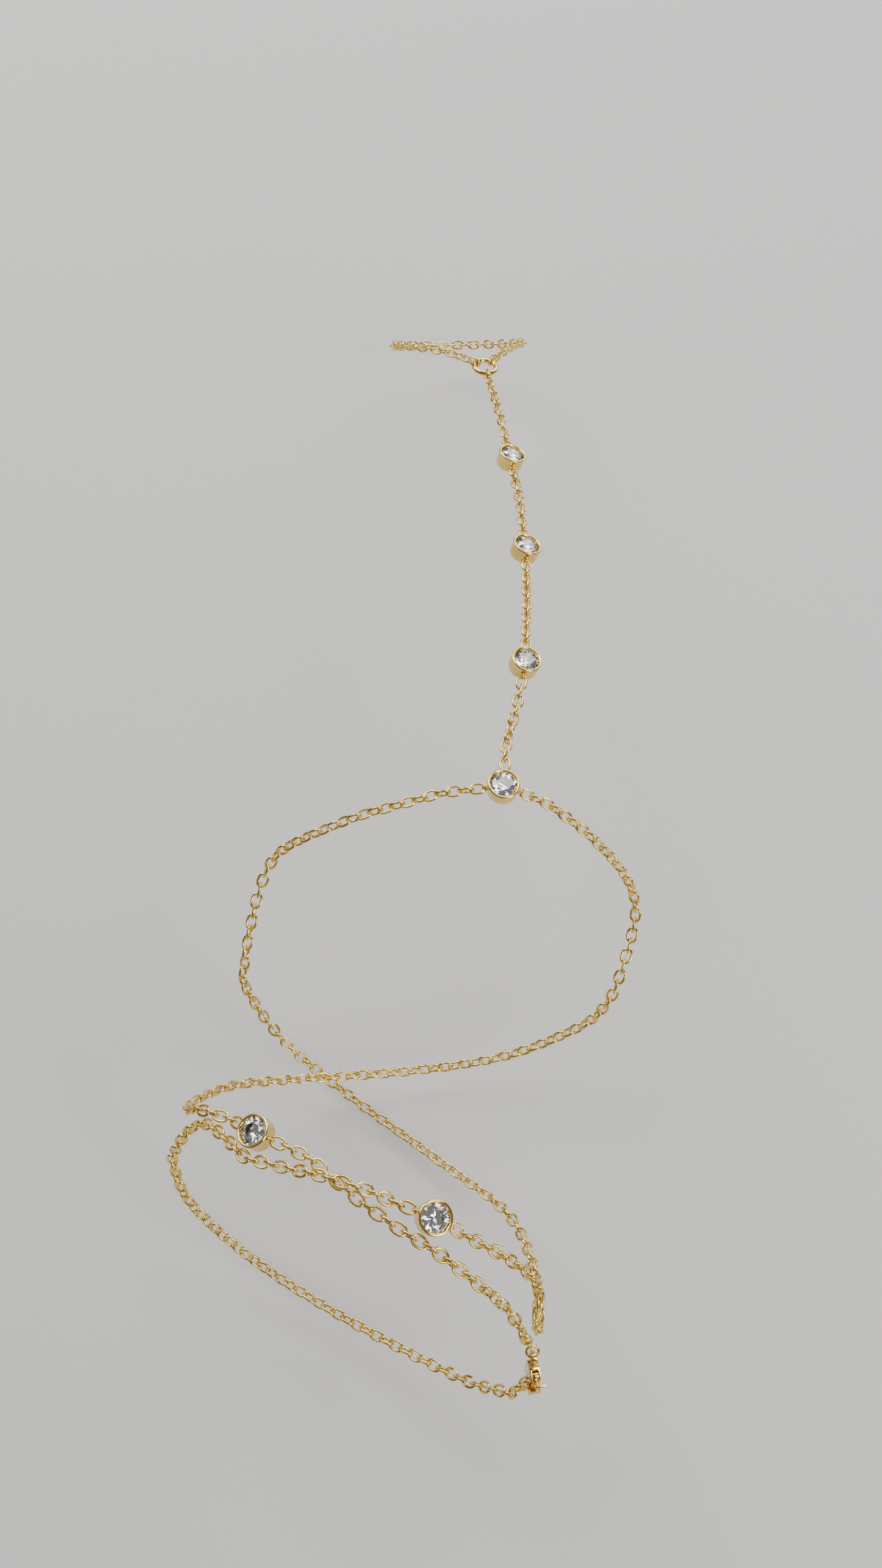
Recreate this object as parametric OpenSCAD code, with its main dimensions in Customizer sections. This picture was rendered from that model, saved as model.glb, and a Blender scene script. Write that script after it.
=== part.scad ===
// A worn hand chain bracelet: a chain loop round one finger, a fine chain with
// set stones down the back of the hand, a chain round the wrist, and a second
// double wrap with two stones and a small lever clasp further up the arm.
// X runs across the arm, Y along it toward the fingers, Z away from the palm.

/* [Arm and finger it is made for] */
// Width of the space the chains lie round, across the arm, in mm
arm_w = 57; // [55:0.5:59]
// Height of that space, from the palm side to the back, in mm
arm_h = 42; // [40:0.5:44]
// Width of the chain loop round the finger, measured between link centres, in mm
finger_w = 26.4; // [24:0.4:29]

/* [Chain] */
// Length of one chain link over its outside, in mm
link_l = 2.7; // [2.6:0.02:2.8]
// Width of one chain link over its outside, in mm
link_w = 1.95; // [1.9:0.02:2.1]
// Width of the wire of a link, seen on its flat, in mm
wire_w = 0.34; // [0.28:0.02:0.34]
// Height of the wire of a link, in mm
wire_h = 0.36; // [0.3:0.02:0.38]
// Step from link to link in the chains round the arm, in mm
arm_pitch = 1.78; // [1.7:0.02:1.8]
// Step from link to link in the loop round the finger, in mm
loop_pitch = 1.72; // [1.6:0.02:1.78]
// Thickness of the plain run that stands for the chain out of sight, in mm
run_d = 1.8; // [1.4:0.1:1.9]

/* [Settings and stones] */
// Outer diameter of a setting at its rolled rim, in mm
setting_d = 5; // [4.8:0.1:5.4]
// Height of a setting from its open bottom to the top of the rim, in mm
setting_h = 2.7; // [2.6:0.1:3.2]
// Diameter of the rolled rim itself, in mm
rim_d = 0.5; // [0.4:0.02:0.54]
// Diameter of a stone at its girdle, in mm
stone_d = 4.1; // [3.9:0.05:4.15]
// Height of the crown of a stone above its girdle, in mm
crown_h = 0.5; // [0.3:0.05:0.6]
// Depth of a stone below its girdle, in mm
pavilion_h = 1.25; // [1:0.05:1.4]
// Wire diameter of the small eyes on the settings, in mm
eye_wire = 0.34; // [0.26:0.02:0.36]

/* [Ring and clasp] */
// Outer diameter of the ring between the hand chain and the finger loop, in mm
ring_d = 5.2; // [5:0.1:5.4]
// Wire diameter of that ring, in mm
ring_wire = 0.95; // [0.8:0.05:1]
// Thickness of the clasp over its flat faces, in mm
clasp_t = 1.5; // [1.4:0.05:1.6]
// Width of the clasp from its back to its opening side, in mm
clasp_w = 3.5; // [3.4:0.1:3.8]
// Thickness of the clasp's lever, in mm
lever_t = 0.8; // [0.6:0.05:0.9]

/* [Clearances] */
// Gap between a stone and the metal that holds it, in mm
stone_gap = 0.07; // [0.06:0.01:0.1]
// Gap round the lever and on its pin, in mm
lever_gap = 0.06; // [0.05:0.01:0.1]
// Gap left along the way between a chain's last link and the plain run behind it, in mm
run_gap = 0.25; // [0.2:0.05:0.4]

/* [Hidden] */
GOLD = "#D9A94E";
CLEAR = "#DCE6EA";

// height of a link's middle above the skin
lie = 1.0;
// height of an eye's middle above the bottom of its setting
eye_z = 1.35;
// from the middle of a setting to the middle of an eye, and to the first link
eye_r = setting_d / 2 + 0.25;
eye_mid = 0.6;
first_link = eye_r + link_l / 2 - wire_w / 2;
// turn of the hand against the arm
hand_turn = 15.5;
arm_slack = [arm_w - 57, 0, arm_h - 42] / 2;

function unit(v) = v / norm(v);
function spin(v, a) = [v[0] * cos(a) - v[1] * sin(a), v[0] * sin(a) + v[1] * cos(a), v[2]];
function tip(v, a) = [v[0] * cos(a) + v[2] * sin(a), v[1], v[2] * cos(a) - v[0] * sin(a)];
function flat(v, n) = unit(v - (v * n) * n);

// a place on the arm: angle from the top toward the right, way along, height
function on_arm(q) = [(arm_w / 2 + q[2]) * sin(q[0]), q[1], (arm_h / 2 + q[2]) * cos(q[0])];
function arm_up(p) = unit([p[0] / pow(arm_w / 2, 2), 0, p[2] / pow(arm_h / 2, 2)]);

// the six stones: middle of each setting at eye height, and the way it faces
S1 = [-10.95, 74.7, 8.5] + arm_slack;
S2 = [-2.95, 52.4, 15] + arm_slack;
S3 = [2.8, 28, 20.35] + arm_slack;
S4 = [5, 5.2, 22.25] + arm_slack;
S5 = on_arm([-30.9, -54.2, eye_z]);
S6 = on_arm([23.4, -58.9, eye_z]);
N1 = unit([0.2, 0.335, 0.92]);
N2 = unit([0.21, 0.31, 0.93]);
N3 = unit([0.21, 0.2, 0.957]);
N4 = unit([0.08, 0.04, 1]);
N5 = arm_up(S5);
N6 = arm_up(S6);

// the ring on the back of the hand, the way it faces, and the two ways out of it
R0 = [-21.95, 98.9, 1.95] + arm_slack;
RN = spin(unit([0.1, 0.26, 0.96]), hand_turn);
ring_r = (ring_d - ring_wire) / 2;
ring_out = link_l / 2 - wire_w - 0.22 - ring_wire / 2;
R_back = flat(S1 - R0, RN);
R_fore = flat(spin([-0.1, 0.99, 0], hand_turn), RN);
ring_reach = ring_r + ring_out;
R_side = cross(R_fore, RN);
// middle of a link that hangs on the ring, at an angle from its right side
function on_ring(a) = R0 + ring_reach * (cos(a) * R_side + sin(a) * R_fore);

// routes on the arm, each place an angle, a way along the arm and a height
WRIST_LEFT = [[1.9, 4.4, 1.35], [-7.5, 1.8, 1.1], [-14.6, -0.1, 1], [-21.1, -1.7, 1], [-28.2, -3.2, 1],
    [-36, -4.9, 1], [-44.2, -6.5, 1], [-53, -7.9, 1.2], [-61, -9.2, 1.6], [-67.5, -10.4, 1.8],
    [-74, -12.2, 1.8]];
WRIST_RIGHT = [[16.8, 5.6, 1.35], [23.8, 5.2, 1.1], [31.2, 4.5, 1], [38.8, 3.6, 1.1], [46, 2.5, 1.4],
    [53.5, 1.5, 1.6], [62, 0.3, 1.8], [70.8, -1, 1.8], [78.5, -2.9, 1.8], [84, -5.4, 1.7],
    [87.5, -8.9, 1.5]];
UPPER_LEFT = [[-38.5, -53.1, 1], [-43, -52.9, 1.3], [-47.5, -52.7, 2.1], [-52.5, -52.5, 2.6],
    [-58, -52.2, 2.5], [-64, -51.9, 1.7], [-71, -51.7, 1]];
UPPER_RIGHT = [[-22.2, -55, 1], [-16.5, -55.5, 1], [-11.5, -56.2, 1], [-8, -57.1, 1],
    [-4.5, -57.9, 1], [-0.9, -58.7, 1], [3.7, -59.7, 1], [10.8, -60.9, 1],
    [18, -62, 1], [26.4, -62.9, 1], [35.3, -64.2, 1], [42.5, -65.2, 1.1],
    [49, -66, 1.2], [55.4, -66.9, 1.3], [61.8, -68, 1.3], [69.2, -69.3, 1.3]];
LOWER_LEFT = [[15.5, -58.7, 1], [10.5, -58.4, 1.3], [7, -58.2, 1.9], [3.5, -58.1, 2.6],
    [-0.5, -58.1, 3.1], [-4.5, -58.1, 3.15], [-8.5, -58, 3], [-12, -58, 2.4], [-16, -58, 1.7],
    [-21, -57.9, 1.1], [-27.4, -57.9, 1], [-32.5, -57.8, 1], [-37.3, -56.7, 1], [-41.8, -55.8, 1],
    [-47.1, -54.8, 1], [-52.5, -54.1, 1], [-57, -54.1, 1], [-64, -54.9, 1], [-72, -56.3, 0.8]];
LOWER_RIGHT = [[31.1, -59.5, 1.1], [38.5, -59.9, 1], [46, -60.3, 1.1], [54, -60.8, 1.3],
    [61.4, -61.4, 1.5], [68, -62.3, 1.6], [73.4, -63.8, 1.6], [76.5, -65.8, 1.6]];
END_CHAIN = [[101.5, -76.3, 2.4], [108.5, -76.5, 1.5], [114.8, -76.5, 1]];
RUN_1 = [[87.5, -8.9, 1.5], [92, -12.5, 1.2], [102, -15.8, 1], [120, -19, 1], [150, -25, 1], [180, -31, 1],
    [210, -37, 1], [240, -43, 1], [262, -48, 1], [278, -51.1, 1], [289, -51.7, 1]];
RUN_2 = [[-74, -12.2, 1.8], [-79.3, -15, 1.7], [-83, -18.3, 1.4], [-88.5, -22.2, 1.1], [-95, -25.4, 1],
    [-105, -28.5, 1.2], [-135, -33, 2.4], [-165, -38, 3.4], [-195, -44, 3.4], [-225, -50.5, 2.4],
    [-251, -59.5, 1.2], [-264, -65, 1.1], [-272.5, -67.4, 1.3], [-279.5, -67.4, 1.5], [-283.5, -65.8, 1.6]];
RUN_3 = [[-72, -56.3, 0.8], [-81, -57.6, 0.8], [-92, -59, 1], [-115, -63, 1], [-145, -67.5, 1],
    [-175, -71.5, 1], [-205, -74.6, 1], [-228, -76.3, 1], [-245.2, -76.5, 1]];

// a smooth line through the places, as many short steps
function bend(a, b, c, d, t) = 0.5 * (2 * b + (c - a) * t + (2 * a - 5 * b + 4 * c - d) * t * t
    + (3 * b - a - 3 * c + d) * t * t * t);
function line(c, m) = [for (i = [0:len(c) - 2]) for (j = [0:m - 1])
    bend(c[max(i - 1, 0)], c[i], c[i + 1], c[min(i + 2, len(c) - 1)], j / m), c[len(c) - 1]];
function ways(p) = [for (i = 0, s = 0; i < len(p);
    s = s + (i < len(p) - 1 ? norm(p[i + 1] - p[i]) : 0), i = i + 1) s];
function axis_table(p, s, k) = [for (i = [0:len(p) - 1]) [s[i], p[i][k]]];
function full(c) = [for (q = c) len(q) == 2 ? on_arm([q[0], q[1], lie]) : on_arm(q)];
function ups(p) = [for (q = p) arm_up(q)];
// the same, led over to n at the end of the line, or at its start
function ups_to(p, n, k) = [for (i = [0:len(p) - 1]) let (
    t = min(1, max(0, k > 0 ? (i - len(p) + 1 + k) / k : (-k - i) / -k)),
    m = n * arm_up(p[i]) < 0 ? -n : n) unit(arm_up(p[i]) * (1 - t) + m * t)];

// steps that fit a whole number of links between the first and the last
function count_for(len_mm, pitch) = max(2, round(len_mm / pitch) + 1);

module stadium(l, w) {
    translate([-(l - w) / 2, 0]) circle(d = w, $fn = 24);
    translate([(l - w) / 2, 0]) circle(d = w, $fn = 24);
    square([l - w, w], center = true);
}

module one_link() {
    linear_extrude(height = wire_h, center = true)
    difference() {
        stadium(link_l, link_w);
        stadium(link_l - 2 * wire_w, link_w - 2 * wire_w);
    }
}

// sets its child with its length along t and its flat toward n, turned by roll
module lay(p, t, n, roll) {
    az = atan2(t[1], t[0]);
    el = asin(t[2]);
    side = [-sin(az), cos(az), 0];
    top = [-sin(el) * cos(az), -sin(el) * sin(az), cos(el)];
    m = n - (n * t) * t;
    rho = atan2(-(m * side), m * top);
    translate(p)
    rotate([0, -el, az])
    rotate([rho + roll, 0, 0])
    children();
}

// a row of interlocked links on a line; rolls are turns at the start, a third,
// two thirds and the end of the row, with every other link a quarter turn on;
// last, where given, is the turn that the very last link ends up with
module row(p, n, pitch, rolls, last) {
    s = ways(p);
    l = s[len(s) - 1];
    c = count_for(l, pitch);
    tx = axis_table(p, s, 0);
    ty = axis_table(p, s, 1);
    tz = axis_table(p, s, 2);
    nx = axis_table(n, s, 0);
    ny = axis_table(n, s, 1);
    nz = axis_table(n, s, 2);
    over = is_undef(last) ? rolls[3] : last - 90 * ((c - 1) % 2);
    turn = [[0, rolls[0]], [l / 3, rolls[1]], [l * 2 / 3, rolls[2]],
        [l, over > rolls[2] + 90 ? over - 180 : over < rolls[2] - 90 ? over + 180 : over]];
    for (i = [0:c - 1]) {
        w = l * i / (c - 1);
        a = max(0, w - 0.6);
        b = min(l, w + 0.6);
        q = [lookup(w, tx), lookup(w, ty), lookup(w, tz)];
        v = [lookup(b, tx) - lookup(a, tx), lookup(b, ty) - lookup(a, ty),
            lookup(b, tz) - lookup(a, tz)];
        u = unit([lookup(w, nx), lookup(w, ny), lookup(w, nz)]);
        lay(q, unit(v), u, lookup(w, turn) + 90 * (i % 2))
        one_link();
    }
}

// the plain run behind the arm, an eight-sided sweep that starts and ends just
// clear of the last links
module plain_run(c) {
    p = line(full(c), 8);
    s = ways(p);
    l = s[len(s) - 1];
    tx = axis_table(p, s, 0);
    ty = axis_table(p, s, 1);
    tz = axis_table(p, s, 2);
    w0 = link_l / 2 + run_gap;
    rings = round((l - 2 * w0) / 4);
    places = [for (i = [0:rings]) let (w = w0 + (l - 2 * w0) * i / rings)
        [lookup(w, tx), lookup(w, ty), lookup(w, tz)]];
    pts = [for (i = [0:rings]) let (
            a = places[max(i - 1, 0)],
            b = places[min(i + 1, rings)],
            t = unit(b - a),
            m = arm_up(places[i]),
            u = flat(m, t),
            v = cross(t, u))
        for (k = [0:7]) places[i] + run_d / 2 * (cos(45 * k) * u + sin(45 * k) * v)];
    sides = [for (i = [0:rings - 1]) for (k = [0:7])
        [8 * i + k, 8 * (i + 1) + k, 8 * (i + 1) + (k + 1) % 8, 8 * i + (k + 1) % 8]];
    polyhedron(points = pts, faces = concat(sides, [[for (k = [0:7]) k]],
        [[for (k = [7:-1:0]) 8 * rings + k]]), convexity = 6);
}

// turns its child's upright axis to n
module face(p, n) {
    translate(p)
    rotate([0, acos(n[2]), atan2(n[1], n[0])])
    children();
}

// the first place of a row that leaves the eye of a setting toward q
function leave(s, n, q) = let (e = s + eye_r * flat(q - s, n))
    e + (first_link - eye_r) * unit(q - e);
function aim(v, n) = let (q = tip(spin(v, -atan2(n[1], n[0])), -acos(n[2]))) atan2(q[1], q[0]);

module eye(a, roll) {
    rotate([0, 0, a])
    translate([eye_r, 0, 0])
    rotate([90 + roll, 0, 0])
    rotate_extrude($fn = 24)
    translate([eye_mid, 0])
    circle(d = eye_wire, $fn = 16);
}

// one setting: a cup with a rolled rim, a seat for the stone, an open bottom
rim_z = setting_h - rim_d / 2;
girdle_z = rim_z - 0.29 + (0.5 - rim_d) / 2;
module setting(p, n, outs) {
    face(p, n)
    union() {
        translate([0, 0, -eye_z])
        rotate_extrude($fn = 48)
        union() {
            polygon([[1.7, 0], [setting_d / 2 - 0.2, 0], [setting_d / 2 - 0.1, 0.12],
                [setting_d / 2 - 0.06, rim_z], [stone_d / 2 + stone_gap, rim_z],
                [stone_d / 2 + stone_gap, girdle_z - 0.15], [1.7, girdle_z - 0.35]]);
            translate([setting_d / 2 - rim_d / 2, rim_z]) circle(d = rim_d, $fn = 20);
        }
        for (o = outs) eye(o[0], o[1]);
    }
}

// one cut stone with a flat table, eight sides on the crown and sixteen at the girdle
module stone(p, n) {
    face(p, n)
    translate([0, 0, girdle_z - eye_z])
    hull() {
        translate([0, 0, crown_h - 0.02]) cylinder(h = 0.02, d = stone_d * 0.58, $fn = 8);
        translate([0, 0, -0.04]) cylinder(h = 0.08, d = stone_d, $fn = 16);
        translate([0, 0, -pavilion_h]) cylinder(h = 0.02, d = 0.2, $fn = 8);
    }
}

module round_ring(p, n, d, w) {
    face(p, n)
    rotate_extrude($fn = 48)
    translate([(d - w) / 2, 0])
    circle(d = w, $fn = 16);
}

// a row between two settings, held by the eye of each
module between(a, na, b, nb, mids, pitch, rolls, last) {
    c = concat([leave(a, na, mids[0])], mids, [leave(b, nb, mids[len(mids) - 1])]);
    p = line(c, 8);
    n = [for (i = [0:len(p) - 1]) let (t = i / (len(p) - 1)) unit(na * (1 - t) + nb * t)];
    row(p, n, pitch, rolls, last);
}

module hand_chain_1() {
    a = R0 + ring_reach * R_back;
    m = (a + S1) / 2 + [0.2, 0.1, 0];
    p = line([a, m, leave(S1, N1, m)], 10);
    n = [for (i = [0:len(p) - 1]) let (t = i / (len(p) - 1)) unit(RN * (1 - t) + N1 * t)];
    color(GOLD) row(p, n, 1.75, [90, 48, 42, 0], 0);
}
module hand_chain_2() {
    color(GOLD) between(S1, N1, S2, N2, [(S1 + S2) / 2 + [0.35, 0.15, 0.1]], 1.68, [0, 40, 20, 0], 0);
}
module hand_chain_3() {
    color(GOLD) between(S2, N2, S3, N3, [(S2 + S3) / 2 + [0.3, 0.1, 0.1]], 1.49, [0, 0, 0, 0], 0);
}
module hand_chain_4() {
    d = S3 - S4;
    color(GOLD) between(S3, N3, S4, N4, [S4 + 0.65 * d + [-0.05, 0, 0], S4 + 0.34 * d + [-0.6, 0, 0]],
        1.7, [0, 0, -45, -90], 0);
}
module jump_ring() {
    color(GOLD) round_ring(R0, RN, ring_d, ring_wire);
}
// chain loop round the finger: a slanting circle whose upper side is drawn
// toward the ring, with both ends hung on the ring
loop_top = R0 + (ring_reach + link_l / 2 - wire_w / 2) * R_fore;
loop_down = spin(unit([-0.1, 0.64, -0.76]), hand_turn);
loop_side = flat(spin([1, 0, 0.02], hand_turn), loop_down);
loop_r = finger_w / 2;
loop_a = 12;
PULL = [[-180, 0.3], [-80, 0.5], [-56, 0.65], [-36, 1.3], [-19, 2.65], [-6, 4.5], [5, 4.9], [18, 4.6],
    [29, 3.9], [34, 2.9], [43, 1.6], [53, 0.6], [70, 0.1], [180, 0.3]];
loop_mid = loop_top + 4.2 * R_fore - loop_r * (sin(loop_a) * loop_side - cos(loop_a) * loop_down);
function loop_at(a) = loop_mid + loop_r * (sin(a) * loop_side - cos(a) * loop_down)
    - lookup(a, PULL) * R_fore;
module finger_loop() {
    turns = concat([28, 36, 45, 55], [for (a = [66:12:294]) a], [306, 318, 330, 341, 352]);
    c = concat([on_ring(50)], [for (a = turns) loop_at(a > 180 ? a - 360 : a)], [on_ring(139)]);
    p = line(c, 5);
    s = ways(p);
    l = s[len(s) - 1];
    n = [for (i = [0:len(p) - 1]) let (near = max(0, 1 - min(s[i], l - s[i]) / 12))
        unit(unit(p[i] - loop_mid) * (1 - near) + RN * near)];
    color(GOLD) row(p, n, loop_pitch, [90, 90, 90, 90], 90);
}

module wrist_chain_left() {
    c = full(WRIST_LEFT);
    p = line(concat([leave(S4, N4, c[1])], [for (i = [1:len(c) - 1]) c[i]]), 6);
    color(GOLD) row(p, ups(p), arm_pitch, [0, 0, 0, 0]);
}
module wrist_chain_right() {
    c = full(WRIST_RIGHT);
    p = line(concat([leave(S4, N4, c[1])], [for (i = [1:len(c) - 1]) c[i]]), 6);
    color(GOLD) row(p, ups(p), arm_pitch, [0, 0, 0, 0]);
}
// upper strand of the double wrap, left and right of its stone
module lower_chain_1() {
    c = full(UPPER_LEFT);
    p = line(concat([leave(S5, N5, c[1])], [for (i = [1:len(c) - 1]) c[i]]), 6);
    color(GOLD) row(p, ups(p), 1.7, [0, 0, 0, 0]);
}
module lower_chain_2() {
    c = full(UPPER_RIGHT);
    q = c[len(c) - 1];
    e = flat(q - clasp_ring_at, clasp_ring_up);
    n = cross(clasp_ring_up, e);
    at = clasp_ring_at + (clasp_ring_d - clasp_ring_wire) / 2 * e;
    p = line(concat([leave(S5, N5, c[1])], [for (i = [1:len(c) - 1]) c[i]],
        [at + (hold - clasp_ring_wire / 2) * flat(q - at, n)]), 6);
    color(GOLD) row(p, ups_to(p, n, 14), 1.7, [0, 0, 0, 0], 0);
}
// lower strand of the double wrap, left and right of its stone
module lower_chain_3() {
    c = full(LOWER_LEFT);
    p = line(concat([leave(S6, N6, c[1])], [for (i = [1:len(c) - 1]) c[i]]), 6);
    color(GOLD) row(p, ups(p), 1.66, [0, 0, 0, 0]);
}
module lower_chain_4() {
    c = full(LOWER_RIGHT);
    p = line(concat([leave(S6, N6, c[1])], [for (i = [1:len(c) - 1]) c[i]]), 6);
    color(GOLD) row(p, ups(p), 1.7, [0, 0, 0, 0]);
}
module hidden_run_1() {
    color(GOLD) plain_run(RUN_1);
}
module hidden_run_2() {
    color(GOLD) plain_run(RUN_2);
}
module hidden_run_3() {
    color(GOLD) plain_run(RUN_3);
}

module setting_1() {
    color(GOLD) setting(S1, N1, [[aim(R0 - S1, N1), 0], [aim(S2 - S1, N1), 0]]);
}
module setting_2() {
    color(GOLD) setting(S2, N2, [[aim(S1 - S2, N2), 0], [aim(S3 - S2, N2), 0]]);
}
module setting_3() {
    color(GOLD) setting(S3, N3, [[aim(S2 - S3, N3), 0], [aim(S4 - S3, N3), 0]]);
}
module setting_4() {
    color(GOLD) setting(S4, N4, [[aim(0.34 * (S3 - S4) + [-0.6, 0, 0], N4), 0], [aim(full(WRIST_LEFT)[1] - S4, N4), 0],
        [aim(full(WRIST_RIGHT)[1] - S4, N4), 0]]);
}
module setting_5() {
    color(GOLD) setting(S5, N5, [[aim(full(UPPER_LEFT)[1] - S5, N5), 0],
        [aim(full(UPPER_RIGHT)[1] - S5, N5), 0]]);
}
module setting_6() {
    color(GOLD) setting(S6, N6, [[aim(full(LOWER_LEFT)[1] - S6, N6), 0],
        [aim(full(LOWER_RIGHT)[1] - S6, N6), 0]]);
}
module stone_1() {
    color(CLEAR) stone(S1, N1);
}
module stone_2() {
    color(CLEAR) stone(S2, N2);
}
module stone_3() {
    color(CLEAR) stone(S3, N3);
}
module stone_4() {
    color(CLEAR) stone(S4, N4);
}
module stone_5() {
    color(CLEAR) stone(S5, N5);
}
module stone_6() {
    color(CLEAR) stone(S6, N6);
}

// the clasp: its long way, the way its flat face looks, and the middle of its bail
clasp_way = unit([0.2, -0.6, -0.775]);
clasp_out = flat([0.93, 0.45, -0.1], clasp_way);
clasp_back = cross(clasp_out, clasp_way);
clasp_at = [29.95, -71.4, 3.5] + arm_slack;
bail_r = 0.78;
bail_hole = 0.42;
clasp_end = 7.2;
hook_x = 5.1;
hook_r = 1.0;
hook_wire = [5.1, 0.36];
bail_t = 0.8;
pin_at = [2.5, -1.05];
pin_d = 0.5;
tab_end = 1.25;
// ring at the upper end of the clasp and ring that the clasp holds
clasp_ring_d = 2.2;
clasp_ring_wire = 0.4;
clasp_ring_at = clasp_at + (clasp_ring_d - clasp_ring_wire) / 2 * flat([-0.55, 0.6, 0.58], clasp_out);
// from a held ring's wire to the middle of the link on it, less half that wire
hold = link_l / 2 - wire_w - 0.14;
end_ring_d = 3.15;
end_ring_wire = 0.45;
// the ring hangs down from the hook, turned out of line with the clasp
end_ring_hang = 39;
end_ring_up = cos(end_ring_hang) * clasp_back - sin(end_ring_hang) * clasp_way;
end_ring_down = cos(end_ring_hang) * clasp_way + sin(end_ring_hang) * clasp_back;
end_ring_at = clasp_at + hook_wire[0] * clasp_way + hook_wire[1] * clasp_back
    + (end_ring_d - end_ring_wire) / 2 * end_ring_down;
clasp_ring_up = unit(cross(clasp_at - clasp_ring_at, clasp_out));
module clasp_ring() {
    color(GOLD) round_ring(clasp_ring_at, clasp_ring_up, clasp_ring_d, clasp_ring_wire);
}
module end_ring() {
    color(GOLD) round_ring(end_ring_at, end_ring_up, end_ring_d, end_ring_wire);
}
module end_chain() {
    c = full(END_CHAIN);
    e = flat(c[1] - end_ring_at, end_ring_up);
    n = cross(end_ring_up, e);
    at = end_ring_at + (end_ring_d - end_ring_wire) / 2 * e;
    p = line(concat([at + (hold - end_ring_wire / 2) * flat(c[1] - at, n)],
        [for (i = [1:len(c) - 1]) c[i]]), 6);
    color(GOLD) row(p, ups_to(p, n, -8), 1.72, [0, 0, 0, 0]);
}
module clasp_form() {
    difference() {
        union() {
            circle(r = bail_r, $fn = 32);
            translate([0.5, -0.45]) square([1.4, 0.9]);
            intersection() {
                translate([4, clasp_w * 0.7]) circle(r = clasp_w * 1.2, $fn = 96);
                translate([4, -clasp_w * 0.7]) circle(r = clasp_w * 1.2, $fn = 96);
                translate([1.15, -clasp_w / 2]) square([clasp_end - 1.15, clasp_w]);
            }
        }
        circle(r = bail_hole, $fn = 32);
        translate([hook_x, 0]) circle(r = hook_r, $fn = 48);
        translate([hook_x - 1.1, -0.55]) circle(r = 0.6, $fn = 32);
        translate([3.25, -3]) square([5.15 - 3.25, 2.7]);
    }
}
module clasp_body() {
    color(GOLD) lay(clasp_at, clasp_way, clasp_out, 0)
    difference() {
        union() {
            linear_extrude(height = clasp_t, center = true) clasp_form();
            translate([pin_at[0], pin_at[1], 0]) cylinder(h = clasp_t + 0.24, d = pin_d, center = true, $fn = 24);
        }
        difference() {
            translate([1.55, -3, -lever_t / 2 - lever_gap]) cube([2.6, 3.15, lever_t + 2 * lever_gap]);
            translate([pin_at[0], pin_at[1], 0]) cylinder(h = 3, d = pin_d, center = true, $fn = 24);
        }
        translate([-1.2, -1.2, bail_t / 2]) cube([2.2, 2.4, 1]);
        translate([-1.2, -1.2, -bail_t / 2 - 1]) cube([2.2, 2.4, 1]);
    }
}
module clasp_lever() {
    reach = 2.9;
    color(GOLD) lay(clasp_at, clasp_way, clasp_out, 0)
    translate([pin_at[0], pin_at[1], 0])
    rotate([0, 0, 8]) {
        linear_extrude(height = lever_t, center = true)
        difference() {
            union() {
                circle(d = 1.15, $fn = 32);
                translate([0, -0.25]) square([reach - 0.25, 0.5]);
                translate([reach - 0.25, 0]) circle(d = 0.5, $fn = 24);
                translate([0.495, -1.35]) square([0.45, 1.35]);
            }
            circle(d = pin_d + 2 * lever_gap, $fn = 32);
        }
        // thumb tab, bent over so that it stands out past the clasp's face
        translate([0.72, -1.35, -lever_t / 2]) cylinder(h = lever_t / 2 + tab_end, d = 0.5, $fn = 24);
    }
}

finger_loop();
jump_ring();
hand_chain_1();
hand_chain_2();
hand_chain_3();
hand_chain_4();
wrist_chain_left();
wrist_chain_right();
lower_chain_1();
lower_chain_2();
lower_chain_3();
lower_chain_4();
end_chain();
hidden_run_1();
hidden_run_2();
hidden_run_3();
setting_1();
setting_2();
setting_3();
setting_4();
setting_5();
setting_6();
stone_1();
stone_2();
stone_3();
stone_4();
stone_5();
stone_6();
clasp_ring();
end_ring();
clasp_body();
clasp_lever();
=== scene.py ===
import math

import bmesh
import bpy
import numpy as np
from mathutils import Matrix, Vector


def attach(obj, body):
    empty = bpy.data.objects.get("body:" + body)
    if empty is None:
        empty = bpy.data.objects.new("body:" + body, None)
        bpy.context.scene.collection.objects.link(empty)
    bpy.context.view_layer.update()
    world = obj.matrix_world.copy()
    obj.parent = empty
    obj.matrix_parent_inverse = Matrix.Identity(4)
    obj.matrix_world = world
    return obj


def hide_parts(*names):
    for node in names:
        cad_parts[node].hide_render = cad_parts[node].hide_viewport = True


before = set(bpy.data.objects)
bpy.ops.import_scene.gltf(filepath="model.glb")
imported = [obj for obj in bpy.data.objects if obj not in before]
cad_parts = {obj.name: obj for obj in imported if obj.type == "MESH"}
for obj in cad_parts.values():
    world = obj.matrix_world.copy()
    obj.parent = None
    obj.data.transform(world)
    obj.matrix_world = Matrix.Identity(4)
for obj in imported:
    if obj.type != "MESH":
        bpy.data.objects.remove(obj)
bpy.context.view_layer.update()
MM = 0.001
SAME_PLACE = 1e-7

# the wrist hollow that the chains lie round, an oval, and the chain's link, in mm
HOLLOW_WIDE = 57.0
HOLLOW_HIGH = 42.0
LINK_LONG = 2.78
LINK_WIDE = 1.98
WIRE_ACROSS = 0.43
WIRE_HIGH = 0.47
LINK_POINTS = 20
WIRE_SIDES = 6
# under 1, the link's sides are straighter than an ellipse's
OVAL_FULLNESS = 0.87
RUN_PITCH = 1.76
# most that a link leans out of its place, in radians
LOOSENESS = 0.05

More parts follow.
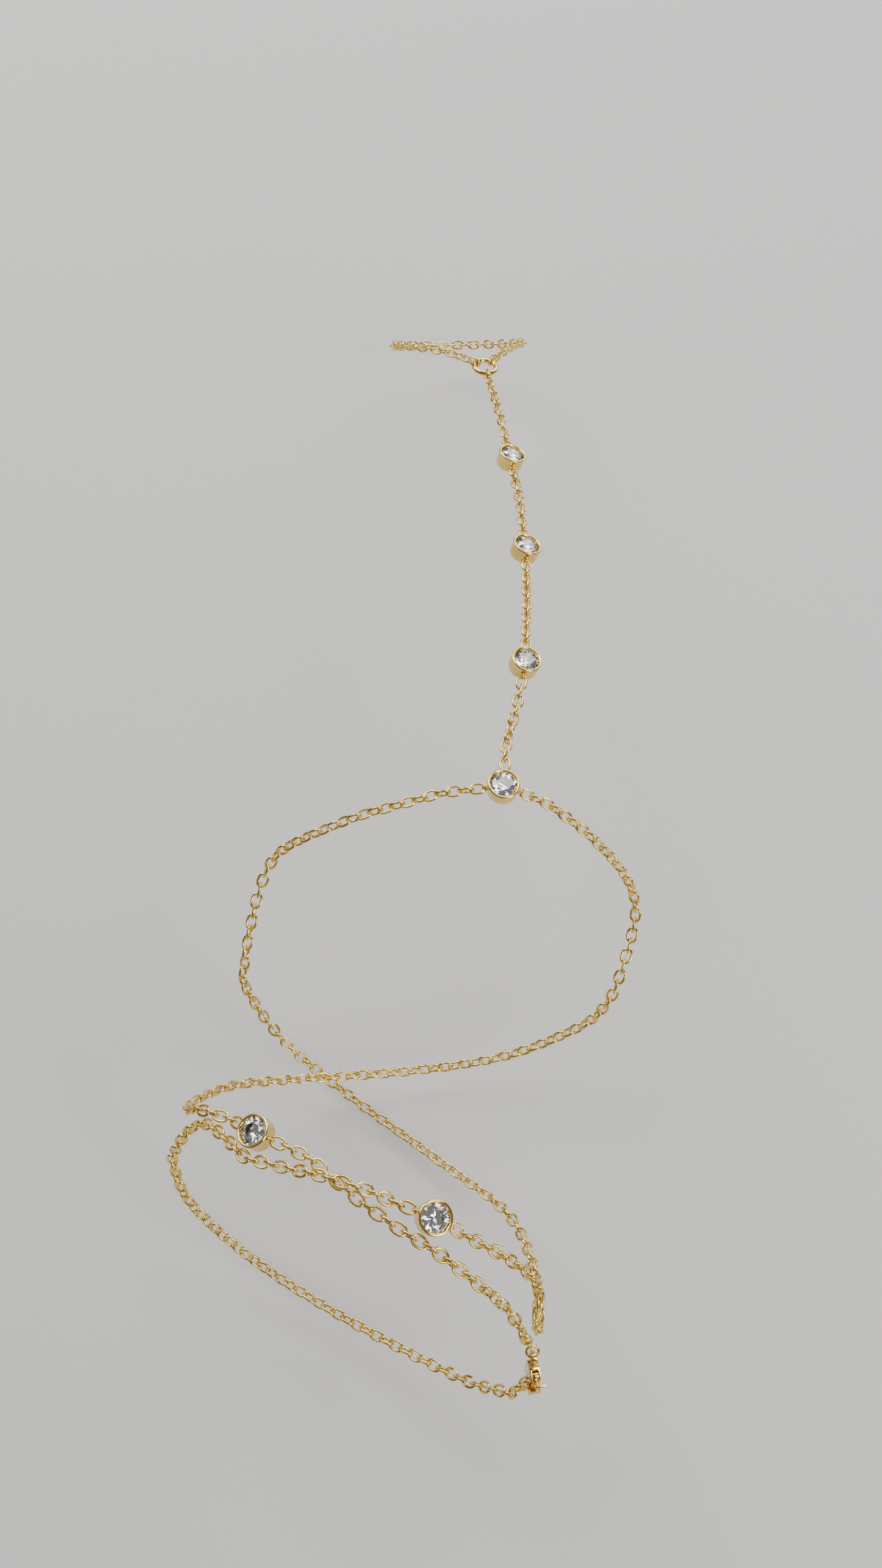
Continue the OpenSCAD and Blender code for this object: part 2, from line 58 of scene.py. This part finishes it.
# the six stones: middle of each setting at the height of its eyes, in mm, and
# the way it faces; the last two are on the lower wrap
STONE_SEATS = [
    ((-10.95, 74.7, 8.5), (0.2, 0.335, 0.92)),
    ((-2.95, 52.4, 15.0), (0.21, 0.31, 0.93)),
    ((2.8, 28.0, 20.35), (0.21, 0.2, 0.957)),
    ((5.0, 5.2, 22.25), (0.08, 0.04, 1.0)),
    ((-15.3292, -54.2, 19.1778), (-0.398108, 0.0, 0.917339)),
    ((11.8549, -58.9, 20.5118), (0.299398, 0.0, 0.954128)),
]
# the chains that hang in each setting's eyes
CHAINS_AT_STONE = [
    ("hand_chain_1", "hand_chain_2"),
    ("hand_chain_2", "hand_chain_3"),
    ("hand_chain_3", "hand_chain_4"),
    ("hand_chain_4", "wrist_chain_left", "wrist_chain_right"),
    ("lower_chain_1", "lower_chain_2"),
    ("lower_chain_3", "lower_chain_4"),
]
# a setting and its stone, in mm; the levels are from the setting's open bottom
SETTING_WIDE = 5.0
SETTING_HIGH = 2.7
RIM_THICK = 0.46
SEAT_HOLE = 1.72
EYE_LEVEL = 1.35
EYE_OUT = SETTING_WIDE / 2 + 0.12
EYE_RADIUS = 0.56
EYE_WIRE = 0.34
STONE_WIDE = 4.1
GIRDLE_LEVEL = 2.16
GIRDLE_HALF = 0.04
CROWN_HIGH = 0.5
PAVILION_DEEP = 1.76
# shares of the stone's radius: its table, the kites' outer points, and the
# points where the lower main facets widen
TABLE_SHARE = 0.56
KITE_SHARE = 0.8
MAIN_SHARE = 0.24

# the chain round the back of the hollow, each place an angle from the top toward
# the right, a way along the hollow and a height over its oval, in degrees and mm
RUNS = {
    "hidden_run_1": [
        (87.5, -8.9, 1.5), (92, -12.5, 1.2), (102, -15.8, 1), (120, -19, 1), (150, -25, 1),
        (180, -31, 1), (210, -37, 1), (240, -43, 1), (262, -48, 1), (278, -51.1, 1),
        (289, -51.7, 1)],
    "hidden_run_2": [
        (-74, -12.2, 1.8), (-79.3, -15, 1.7), (-83, -18.3, 1.4), (-88.5, -22.2, 1.1),
        (-95, -25.4, 1), (-105, -28.5, 1.2), (-135, -33, 2.4), (-165, -38, 3.4),
        (-195, -44, 3.4), (-225, -50.5, 2.4), (-251, -59.5, 1.2), (-264, -65, 1.1),
        (-272.5, -67.4, 1.3), (-279.5, -67.4, 1.5), (-283.5, -65.8, 1.6)],
    "hidden_run_3": [
        (-72, -56.3, 0.8), (-81, -57.6, 0.8), (-92, -59, 1), (-115, -63, 1),
        (-145, -67.5, 1), (-175, -71.5, 1), (-205, -74.6, 1), (-228, -76.3, 1),
        (-245.2, -76.5, 1)],
}
# the chains whose ends each hidden run joins
RUN_ENDS = {
    "hidden_run_1": ("wrist_chain_right", "lower_chain_1"),
    "hidden_run_2": ("wrist_chain_left", "lower_chain_4"),
    "hidden_run_3": ("lower_chain_3", "end_chain"),
}
# the chains whose links lie where the frame's solids do
CHAINS = ["finger_loop", "hand_chain_1", "hand_chain_2", "hand_chain_3",
          "hand_chain_4", "wrist_chain_left", "wrist_chain_right", "lower_chain_1",
          "lower_chain_2", "lower_chain_3", "lower_chain_4", "end_chain"]
# how thick each round ring's wire is, in mm
RINGS = {"jump_ring": 1.0, "clasp_ring": 0.4, "end_ring": 0.45}

# how finely the round shapes are cut: steps round the piece and round its wire
BEZEL_STEPS = 72
LIP_STEPS = 14
EYE_STEPS = 28
EYE_SIDES = 10
RING_STEPS = 64
RING_SIDES = 16
# how far the clasp's edges are rounded, in mm
CASE_EDGE = 0.16
LEVER_EDGE = 0.1
# seed of the first hidden run, past those of the chains
HIDDEN_SEED = 50

# the floor and the camera, in metres, degrees and mm of lens
FLOOR_LEVEL = -0.029
FLOOR_HALF = 1.5
CAMERA_PLACE = (0.02016, -0.08511, 0.22795)
CAMERA_TILT = 24
CAMERA_TURN = 15.47
CAMERA_LENS = 33.755


def shader(name, **values):
    """A new material whose surface has the named shader values."""
    mat = bpy.data.materials.new(name)
    mat.use_nodes = True
    surface = mat.node_tree.nodes["Principled BSDF"]
    for socket, value in values.items():
        surface.inputs[socket.replace("_", " ")].default_value = value
    return mat, surface


def polished_gold(name, pale, deep, dull):
    """Gold plate: two tones in slow patches and a fine unevenness of the polish."""
    mat, surface = shader(name, Metallic=1.0, Roughness=dull)
    tree = mat.node_tree
    place = tree.nodes.new("ShaderNodeTexCoord")
    patches = tree.nodes.new("ShaderNodeTexNoise")
    patches.inputs["Scale"].default_value = 260.0
    patches.inputs["Detail"].default_value = 2.0
    tones = tree.nodes.new("ShaderNodeValToRGB")
    tones.color_ramp.elements[0].position = 0.35
    tones.color_ramp.elements[0].color = deep
    tones.color_ramp.elements[1].position = 0.65
    tones.color_ramp.elements[1].color = pale
    wear = tree.nodes.new("ShaderNodeTexNoise")
    wear.inputs["Scale"].default_value = 1500.0
    wear.inputs["Detail"].default_value = 3.0
    gloss = tree.nodes.new("ShaderNodeMapRange")
    gloss.inputs["From Min"].default_value = 0.3
    gloss.inputs["From Max"].default_value = 0.7
    gloss.inputs["To Min"].default_value = dull * 0.65
    gloss.inputs["To Max"].default_value = dull * 1.5
    links = tree.links
    links.new(place.outputs["Object"], patches.inputs["Vector"])
    links.new(place.outputs["Object"], wear.inputs["Vector"])
    links.new(patches.outputs["Fac"], tones.inputs["Fac"])
    links.new(tones.outputs["Color"], surface.inputs["Base Color"])
    links.new(wear.outputs["Fac"], gloss.inputs["Value"])
    links.new(gloss.outputs["Result"], surface.inputs["Roughness"])
    return mat


def clear_stone():
    """Colourless cut stone that bends light strongly."""
    return shader("clear_stone", Base_Color=(0.99, 0.99, 1.0, 1.0), Roughness=0.0,
                  IOR=2.35, Transmission_Weight=1.0)[0]


def plain_floor():
    return shader("pale_floor", Base_Color=(0.53, 0.525, 0.515, 1.0), Roughness=0.85)[0]


CHAIN_GOLD = polished_gold("chain_gold", (0.87, 0.64, 0.19, 1), (0.72, 0.5, 0.125, 1), 0.13)
BEZEL_GOLD = polished_gold("bezel_gold", (0.88, 0.64, 0.2, 1), (0.74, 0.51, 0.135, 1), 0.11)
CLASP_GOLD = polished_gold("clasp_gold", (0.84, 0.6, 0.19, 1), (0.68, 0.46, 0.125, 1), 0.13)
CLEAR_STONE = clear_stone()


class Seat:
    """Where a link lies: its middle, its long way and the way its flat faces."""

    def __init__(self, middle, along, facing):
        self.middle = Vector(middle)
        self.along = Vector(along).normalized()
        facing = Vector(facing)
        self.facing = (facing - facing.dot(self.along) * self.along).normalized()

    def matrix(self):
        across = self.facing.cross(self.along)
        turned = Matrix((self.along, across, self.facing)).transposed()
        return Matrix.Translation(self.middle) @ turned.to_4x4()


def loose_parts(node):
    """The node's separate solids, each as a list of triangles of three places."""
    mesh = bmesh.new()
    mesh.from_mesh(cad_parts[node].data)
    bmesh.ops.remove_doubles(mesh, verts=mesh.verts, dist=SAME_PLACE)
    bmesh.ops.triangulate(mesh, faces=mesh.faces)
    seen = set()
    parts = []
    for start in mesh.faces:
        if start in seen:
            continue
        seen.add(start)
        heap, part = [start], []
        while heap:
            face = heap.pop()
            part.append([tuple(v.co) for v in face.verts])
            for edge in face.edges:
                for other in edge.link_faces:
                    if other not in seen:
                        seen.add(other)
                        heap.append(other)
        parts.append(np.array(part))
    mesh.free()
    return parts


def lie_of(part):
    """A flat solid's middle, its longest way and the way its flat faces."""
    sides = np.cross(part[:, 1] - part[:, 0], part[:, 2] - part[:, 0])
    area = np.linalg.norm(sides, axis=1) / 2
    centre = part.mean(axis=1)
    middle = (area[:, None] * centre).sum(axis=0) / area.sum()
    corner = part - middle
    centre = centre - middle
    spread = np.einsum("t,tki,tkj->ij", area, corner, corner)
    spread += 9 * np.einsum("t,ti,tj->ij", area, centre, centre)
    ways = np.linalg.eigh(spread)[1]
    return middle, ways[:, 2], ways[:, 0]


def link_seats(node):
    """A seat for each of the chain's links, where its solid lies."""
    seats = []
    for part in loose_parts(node):
        middle, along, facing = lie_of(part)
        seats.append(Seat(middle, along, facing))
    return seats


SEATS = {node: link_seats(node) for node in CHAINS}


def on_hollow(place):
    """Place in the frame of an angle, a way along the hollow and a height over it."""
    angle, way, height = place
    turn = math.radians(angle)
    return np.array([(HOLLOW_WIDE / 2 + height) * math.sin(turn), way,
                     (HOLLOW_HIGH / 2 + height) * math.cos(turn)]) * MM


def smooth_line(places, steps):
    """The line through the places, the same curve as the hidden run's bar."""
    line = []
    last = len(places) - 1
    for i in range(last):
        a, b = places[max(i - 1, 0)], places[i]
        c, d = places[i + 1], places[min(i + 2, last)]
        for j in range(steps):
            t = j / steps
            line.append(0.5 * (2 * b + (c - a) * t + (2 * a - 5 * b + 4 * c - d) * t * t
                               + (3 * b - a - 3 * c + d) * t * t * t))
    line.append(places[last])
    return np.array(line)


def nearest_seat(node, place):
    return min(SEATS[node], key=lambda seat: (seat.middle - Vector(place)).length)


def roll_between(way, base, facing):
    """Turn about the way, in radians, that leads base to facing."""
    base = (base - base.dot(way) * way).normalized()
    facing = (facing - facing.dot(way) * way).normalized()
    return math.atan2(way.dot(base.cross(facing)), base.dot(facing))


def run_seats(run):
    """Links along a hidden run, every other one a quarter turn on, led over from
    the roll of the chain before it to the roll of the chain after it."""
    steps_between = 12
    near = 0.0006
    line = smooth_line([on_hollow(place) for place in RUNS[run]], steps_between)
    before = nearest_seat(RUN_ENDS[run][0], line[0])
    after = nearest_seat(RUN_ENDS[run][1], line[-1])
    steps = np.linalg.norm(np.diff(line, axis=0), axis=1)
    way = np.concatenate([[0], np.cumsum(steps)])
    count = round(way[-1] / (RUN_PITCH * MM))

    def at(w):
        return Vector([np.interp(w, way, line[:, k]) for k in range(3)])

    def heading(w):
        return (at(min(w + near, way[-1])) - at(max(w - near, 0))).normalized()

    def up(w):
        place = at(w)
        out = Vector((place.x / HOLLOW_WIDE ** 2, 0, place.z / HOLLOW_HIGH ** 2))
        return out.normalized()

    first = roll_between(heading(0), up(0), before.facing)
    final = roll_between(heading(way[-1]), up(way[-1]), after.facing)
    final -= count * math.pi / 2
    # a link looks the same after half a turn, so the shorter way round is taken
    half_turn = math.pi
    final = first + (final - first + half_turn / 2) % half_turn - half_turn / 2
    seats = []
    for i in range(1, count):
        w = way[-1] * i / count
        roll = first + (final - first) * i / count + i * math.pi / 2
        facing = Matrix.Rotation(roll, 3, heading(w)) @ up(w)
        seats.append(Seat(at(w), heading(w), facing))
    return seats


def chain_tree():
    """Sets one bent-wire link on every point, turned by the point's attribute."""
    tree = bpy.data.node_groups.new("links_on_seats", "GeometryNodeTree")
    face = tree.interface
    face.new_socket("Seats", in_out="INPUT", socket_type="NodeSocketGeometry")
    for name in ("Link long", "Link wide", "Wire across", "Wire high", "Looseness"):
        face.new_socket(name, in_out="INPUT", socket_type="NodeSocketFloat")
    face.new_socket("Seed", in_out="INPUT", socket_type="NodeSocketInt")
    face.new_socket("Gold", in_out="INPUT", socket_type="NodeSocketMaterial")
    face.new_socket("Chain", in_out="OUTPUT", socket_type="NodeSocketGeometry")
    nodes, links = tree.nodes, tree.links
    given = nodes.new("NodeGroupInput")
    result = nodes.new("NodeGroupOutput")

    def math_node(kind, a, b):
        node = nodes.new("ShaderNodeMath")
        node.operation = kind
        for socket, value in zip(node.inputs, (a, b)):
            if isinstance(value, (int, float)):
                socket.default_value = value
            else:
                links.new(value, socket)
        return node.outputs[0]

    wire = given.outputs["Wire across"]
    long_way = math_node("SUBTRACT", given.outputs["Link long"], wire)
    wide_way = math_node("SUBTRACT", given.outputs["Link wide"], wire)
    path = nodes.new("GeometryNodeCurvePrimitiveCircle")
    path.inputs["Resolution"].default_value = LINK_POINTS
    path.inputs["Radius"].default_value = 1.0
    place = nodes.new("GeometryNodeInputPosition")
    split = nodes.new("ShaderNodeSeparateXYZ")
    links.new(place.outputs[0], split.inputs[0])
    oval = nodes.new("ShaderNodeCombineXYZ")
    for axis, size in (("X", long_way), ("Y", wide_way)):
        full = math_node("POWER", math_node("ABSOLUTE", split.outputs[axis], 0),
                         OVAL_FULLNESS)
        side = math_node("MULTIPLY", math_node("SIGN", split.outputs[axis], 0), full)
        links.new(math_node("MULTIPLY", side, math_node("MULTIPLY", size, 0.5)),
                  oval.inputs[axis])
    ends = nodes.new("GeometryNodeSetPosition")
    links.new(path.outputs["Curve"], ends.inputs["Geometry"])
    links.new(oval.outputs[0], ends.inputs["Position"])
    upright = nodes.new("GeometryNodeSetCurveNormal")
    upright.mode = "Z_UP"
    links.new(ends.outputs["Geometry"], upright.inputs["Curve"])

    section = nodes.new("GeometryNodeCurvePrimitiveCircle")
    section.inputs["Resolution"].default_value = WIRE_SIDES
    section.inputs["Radius"].default_value = 0.5
    flatten = nodes.new("ShaderNodeCombineXYZ")
    links.new(wire, flatten.inputs["X"])
    links.new(given.outputs["Wire high"], flatten.inputs["Y"])
    flatten.inputs["Z"].default_value = 1.0
    sized = nodes.new("GeometryNodeTransform")
    links.new(section.outputs["Curve"], sized.inputs["Geometry"])
    links.new(flatten.outputs[0], sized.inputs["Scale"])
    link = nodes.new("GeometryNodeCurveToMesh")
    links.new(upright.outputs["Curve"], link.inputs["Curve"])
    links.new(sized.outputs["Geometry"], link.inputs["Profile Curve"])

    turn = nodes.new("GeometryNodeInputNamedAttribute")
    turn.data_type = "FLOAT_VECTOR"
    turn.inputs["Name"].default_value = "turn"
    turned = nodes.new("FunctionNodeEulerToRotation")
    links.new(turn.outputs["Attribute"], turned.inputs[0])
    least = math_node("MULTIPLY", given.outputs["Looseness"], -1.0)
    tilt = nodes.new("FunctionNodeRandomValue")
    tilt.data_type = "FLOAT_VECTOR"
    links.new(least, tilt.inputs[0])
    links.new(given.outputs["Looseness"], tilt.inputs[1])
    links.new(given.outputs["Seed"], tilt.inputs["Seed"])
    tilted = nodes.new("FunctionNodeEulerToRotation")
    links.new(tilt.outputs[0], tilted.inputs[0])
    both = nodes.new("FunctionNodeRotateRotation")
    both.rotation_space = "LOCAL"
    links.new(turned.outputs[0], both.inputs[0])
    links.new(tilted.outputs[0], both.inputs[1])

    laid = nodes.new("GeometryNodeInstanceOnPoints")
    links.new(given.outputs["Seats"], laid.inputs["Points"])
    links.new(link.outputs["Mesh"], laid.inputs["Instance"])
    links.new(both.outputs[0], laid.inputs["Rotation"])
    real = nodes.new("GeometryNodeRealizeInstances")
    links.new(laid.outputs["Instances"], real.inputs["Geometry"])
    soft = nodes.new("GeometryNodeSetShadeSmooth")
    links.new(real.outputs["Geometry"], soft.inputs["Geometry"])
    finish = nodes.new("GeometryNodeSetMaterial")
    links.new(soft.outputs["Geometry"], finish.inputs["Geometry"])
    links.new(given.outputs["Gold"], finish.inputs["Material"])
    links.new(finish.outputs["Geometry"], result.inputs["Chain"])
    return tree


CHAIN_TREE = chain_tree()


def socket_key(tree, name):
    """The identifier of the tree's input of that name."""
    for item in tree.interface.items_tree:
        if item.item_type == "SOCKET" and item.in_out == "INPUT" and item.name == name:
            return item.identifier
    raise KeyError(name)


def new_piece(name, mesh, body, *nodes, slot="gold"):
    """An object on its body that stands in for the nodes."""
    piece = bpy.data.objects.new(name, mesh)
    bpy.context.scene.collection.objects.link(piece)
    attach(piece, body)
    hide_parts(*nodes)
    return piece


def chain_piece(name, seats, seed, *nodes):
    """A chain as one piece: a link on each seat."""
    points = bpy.data.meshes.new(name + "_seats")
    points.from_pydata([seat.middle for seat in seats], [], [])
    turns = points.attributes.new("turn", "FLOAT_VECTOR", "POINT")
    for seat, turn in zip(seats, turns.data):
        turn.vector = seat.matrix().to_euler()
    holder = bpy.data.objects.new(name + "_seats", points)
    bpy.context.scene.collection.objects.link(holder)
    build = holder.modifiers.new("links", "NODES")
    build.node_group = CHAIN_TREE
    sizes = {"Link long": LINK_LONG * MM, "Link wide": LINK_WIDE * MM,
             "Wire across": WIRE_ACROSS * MM, "Wire high": WIRE_HIGH * MM,
             "Looseness": LOOSENESS, "Seed": seed, "Gold": CHAIN_GOLD}
    for socket, value in sizes.items():
        build[socket_key(CHAIN_TREE, socket)] = value
    ready = holder.evaluated_get(bpy.context.evaluated_depsgraph_get())
    mesh = bpy.data.meshes.new_from_object(ready)
    mesh.name = name
    bpy.data.objects.remove(holder)
    return new_piece(name, mesh, "jewel", *nodes)


def turned_shape(mesh, profile, segments, place):
    """Adds the closed profile of (radius, height) turned about its axis."""
    rows = []
    for i in range(segments):
        a = 2 * math.pi * i / segments
        rows.append([mesh.verts.new(place @ Vector((r * math.cos(a), r * math.sin(a), z)))
                     for r, z in profile])
    count = len(profile)
    for i in range(segments):
        one, two = rows[i], rows[(i + 1) % segments]
        for k in range(count):
            n = (k + 1) % count
            face = mesh.faces.new((one[k], two[k], two[n], one[n]))
            face.smooth = True


def wire_ring(mesh, radius, wire, segments, place, sides):
    """Adds a ring of round wire; the radius is that of the wire's middle."""
    profile = [(radius + wire / 2 * math.cos(2 * math.pi * k / sides),
                wire / 2 * math.sin(2 * math.pi * k / sides)) for k in range(sides)]
    turned_shape(mesh, profile, segments, place)


def finished(mesh, name, material):
    """The mesh with its faces outward and its material."""
    bmesh.ops.recalc_face_normals(mesh, faces=mesh.faces)
    data = bpy.data.meshes.new(name)
    mesh.to_mesh(data)
    mesh.free()
    data.materials.append(material)
    return data


def facing_frame(middle, facing):
    """The frame at the middle whose third way is the facing."""
    facing = Vector(facing).normalized()
    side = Vector((1, 0, 0)) - facing.x * facing
    side.normalize()
    turned = Matrix((side, facing.cross(side), facing)).transposed()
    return Matrix.Translation(Vector(middle)) @ turned.to_4x4()


def arc(centre, radius, start, end, steps):
    """Points of an arc, from one angle to another, in degrees."""
    return [(centre[0] + radius * math.cos(math.radians(start + (end - start) * i / steps)),
             centre[1] + radius * math.sin(math.radians(start + (end - start) * i / steps)))
            for i in range(steps + 1)]


def bezel_profile():
    """Half section of a setting, from the open bottom up the outside, over the
    rolled rim and down the inside to the stone's seat."""
    wide = SETTING_WIDE / 2
    rim = RIM_THICK / 2
    rim_level = SETTING_HIGH - rim
    outside = [(SEAT_HOLE, 0.02), (wide - 0.3, 0.0), (wide - 0.2, 0.03), (wide - 0.14, 0.1),
               (wide - 0.1, 0.22), (wide - 0.07, 0.9), (wide - 0.06, 1.7),
               (wide - 0.06, rim_level - 0.26), (wide - 0.045, rim_level - 0.2)]
    lip = arc((wide - rim, rim_level), rim, -20, 205, LIP_STEPS)
    inside = [(STONE_WIDE / 2 - 0.06, rim_level - 0.17),
              (STONE_WIDE / 2 + 0.04, rim_level - 0.22),
              (STONE_WIDE / 2 + 0.05, GIRDLE_LEVEL - 0.12), (SEAT_HOLE, GIRDLE_LEVEL - 0.5)]
    return [(r * MM, (z - EYE_LEVEL) * MM) for r, z in outside + lip + inside]


def setting_piece(number):
    """The bezel with a wire eye for each chain that hangs in it."""
    middle, facing = STONE_SEATS[number - 1]
    place = facing_frame([c * MM for c in middle], facing)
    mesh = bmesh.new()
    turned_shape(mesh, bezel_profile(), BEZEL_STEPS, place)
    up = place.to_3x3() @ Vector((0, 0, 1))
    for chain in CHAINS_AT_STONE[number - 1]:
        way = nearest_seat(chain, place.translation).middle - place.translation
        way = (way - way.dot(up) * up).normalized()
        eye = Matrix((way, up, way.cross(up))).transposed().to_4x4()
        eye = Matrix.Translation(place.translation + EYE_OUT * MM * way) @ eye
        wire_ring(mesh, EYE_RADIUS * MM, EYE_WIRE * MM, EYE_STEPS, eye, EYE_SIDES)
    name = "bezel_%d" % number
    return new_piece(name, finished(mesh, name, BEZEL_GOLD), "jewel", "setting_%d" % number)


def stone_piece(number):
    """A brilliant: table, stars, kites and upper halves over the girdle, mains and
    lower halves under it."""
    middle, facing = STONE_SEATS[number - 1]
    place = facing_frame([c * MM for c in middle], facing)
    radius = STONE_WIDE / 2
    crown = CROWN_HIGH - GIRDLE_HALF
    pavilion = PAVILION_DEEP - GIRDLE_HALF
    kite_side, main_side = KITE_SHARE * radius, MAIN_SHARE * radius
    lean = math.cos(math.pi / 8)
    kite_level = crown * (radius - kite_side * lean) / (radius * (1 - TABLE_SHARE))
    main_level = pavilion * (1 - main_side * lean / radius)
    mesh = bmesh.new()

    def corner(r, eighth, z):
        a = math.pi / 4 * eighth
        level = GIRDLE_LEVEL - EYE_LEVEL + z
        return mesh.verts.new(place @ (Vector((r * math.cos(a), r * math.sin(a), level)) * MM))

    table = [corner(TABLE_SHARE * radius, k, CROWN_HIGH) for k in range(8)]
    kites = [corner(kite_side, k + 0.5, GIRDLE_HALF + kite_level) for k in range(8)]
    upper = [corner(radius, k / 2, GIRDLE_HALF) for k in range(16)]
    lower = [corner(radius, k / 2, -GIRDLE_HALF) for k in range(16)]
    mains = [corner(main_side, k + 0.5, -GIRDLE_HALF - main_level) for k in range(8)]
    point = corner(0, 0, -PAVILION_DEEP)
    mesh.faces.new(table)
    for k in range(8):
        n, b = (k + 1) % 8, (k - 1) % 8
        g, h, j = 2 * k, 2 * k + 1, (2 * k + 2) % 16
        mesh.faces.new((table[k], kites[k], table[n]))
        mesh.faces.new((table[k], kites[b], upper[g], kites[k]))
        mesh.faces.new((kites[k], upper[g], upper[h]))
        mesh.faces.new((kites[k], upper[h], upper[j]))
        mesh.faces.new((upper[g], lower[g], lower[h], upper[h]))
        mesh.faces.new((upper[h], lower[h], lower[j], upper[j]))
        mesh.faces.new((mains[k], lower[h], lower[g]))
        mesh.faces.new((mains[k], lower[j], lower[h]))
        mesh.faces.new((point, mains[k], lower[g], mains[b]))
    name = "brilliant_%d" % number
    return new_piece(name, finished(mesh, name, CLEAR_STONE), "jewel", "stone_%d" % number,
                     slot="stone")


def ring_piece(node, wire):
    """A round wire ring where the frame's ring is."""
    part = loose_parts(node)[0]
    middle, along, facing = lie_of(part)
    reach = np.linalg.norm((part - middle).reshape(-1, 3), axis=1).max()
    place = facing_frame(middle, facing)
    mesh = bmesh.new()
    wire_ring(mesh, reach - wire * MM / 2, wire * MM, RING_STEPS, place, RING_SIDES)
    name = node + "_wire"
    return new_piece(name, finished(mesh, name, BEZEL_GOLD), "jewel", node)


def softened(node, name, body, edge):
    """The frame's own piece with its edges rounded, as cast and polished metal."""
    mesh = bmesh.new()
    mesh.from_mesh(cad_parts[node].data)
    bmesh.ops.remove_doubles(mesh, verts=mesh.verts, dist=SAME_PLACE)
    bmesh.ops.dissolve_limit(mesh, angle_limit=math.radians(1), verts=mesh.verts,
                             edges=mesh.edges)
    for face in mesh.faces:
        face.smooth = True
    data = bpy.data.meshes.new(name)
    mesh.to_mesh(data)
    mesh.free()
    data.materials.append(CLASP_GOLD)
    piece = new_piece(name, data, body, node)
    bevel = piece.modifiers.new("polished_edges", "BEVEL")
    bevel.width = edge * MM
    bevel.segments = 3
    bevel.limit_method = "ANGLE"
    bevel.angle_limit = math.radians(35)
    bevel.harden_normals = True
    return piece


for seed, chain in enumerate(CHAINS):
    chain_piece(chain + "_links", SEATS[chain], seed, chain)
for seed, run in enumerate(RUNS):
    chain_piece(run + "_links", run_seats(run), HIDDEN_SEED + seed, run)
for number in range(1, len(STONE_SEATS) + 1):
    setting_piece(number)
    stone_piece(number)
for node, wire in RINGS.items():
    ring_piece(node, wire)
softened("clasp_body", "clasp_case", "jewel", CASE_EDGE)
softened("clasp_lever", "clasp_thumb_lever", "lever", LEVER_EDGE)


def studio_floor():
    """A wide plain floor under the jewel."""
    mesh = bmesh.new()
    bmesh.ops.create_grid(mesh, x_segments=1, y_segments=1, size=FLOOR_HALF)
    data = bpy.data.meshes.new("floor")
    mesh.to_mesh(data)
    mesh.free()
    data.transform(Matrix.Translation((0, 0, FLOOR_LEVEL)))
    data.materials.append(plain_floor())
    floor = bpy.data.objects.new("floor", data)
    bpy.context.scene.collection.objects.link(floor)


def soft_light(name, place, aim, size, power, colour):
    """A plain oblong light that looks at the aim."""
    lamp = bpy.data.lights.new(name, "AREA")
    lamp.shape = "RECTANGLE"
    lamp.size, lamp.size_y = size
    lamp.energy = power
    lamp.color = colour
    light = bpy.data.objects.new(name, lamp)
    light.location = place
    way = Vector(aim) - Vector(place)
    light.rotation_euler = way.to_track_quat("-Z", "Y").to_euler()
    bpy.context.scene.collection.objects.link(light)


def studio():
    """The floor, four soft windows and the room round them."""
    studio_floor()
    soft_light("window_left", (-0.45, 0.32, 0.55), (0, 0, 0),
               (0.42, 0.6), 6.0, (1.0, 0.98, 0.95))
    soft_light("window_far", (0.15, 0.75, 0.36), (0, 0.05, 0),
               (0.8, 0.5), 5.0, (0.97, 0.98, 1.0))
    soft_light("window_high", (0.07, 0.41, 0.77), (0, 0, 0),
               (0.45, 0.3), 1.4, (1.0, 1.0, 1.0))
    soft_light("window_right", (0.5, -0.25, 0.42), (0, 0, 0),
               (0.26, 0.45), 4.0, (1.0, 0.99, 0.97))
    room()


def room():
    """A dim grey room, a little paler overhead."""
    world = bpy.data.worlds.new("room")
    world.use_nodes = True
    nodes, links = world.node_tree.nodes, world.node_tree.links
    way = nodes.new("ShaderNodeTexCoord")
    split = nodes.new("ShaderNodeSeparateXYZ")
    height = nodes.new("ShaderNodeValToRGB")
    for stop, (level, grey) in enumerate(((0.1, 0.13), (0.95, 0.22))):
        height.color_ramp.elements[stop].position = level
        height.color_ramp.elements[stop].color = (grey, grey, grey * 1.03, 1.0)
    links.new(way.outputs["Generated"], split.inputs[0])
    links.new(split.outputs["Z"], height.inputs["Fac"])
    links.new(height.outputs["Color"], nodes["Background"].inputs["Color"])
    bpy.context.scene.world = world


def camera():
    """Looks at the jewel from where the photo was taken."""
    lens = bpy.data.cameras.new("camera")
    lens.sensor_width = 36.0
    lens.lens = CAMERA_LENS
    lens.clip_start = 0.005
    lens.clip_end = 10.0
    eye = bpy.data.objects.new("camera", lens)
    eye.location = CAMERA_PLACE
    eye.rotation_euler = (math.radians(CAMERA_TILT), 0, math.radians(CAMERA_TURN))
    bpy.context.scene.collection.objects.link(eye)
    bpy.context.scene.camera = eye


studio()
camera()
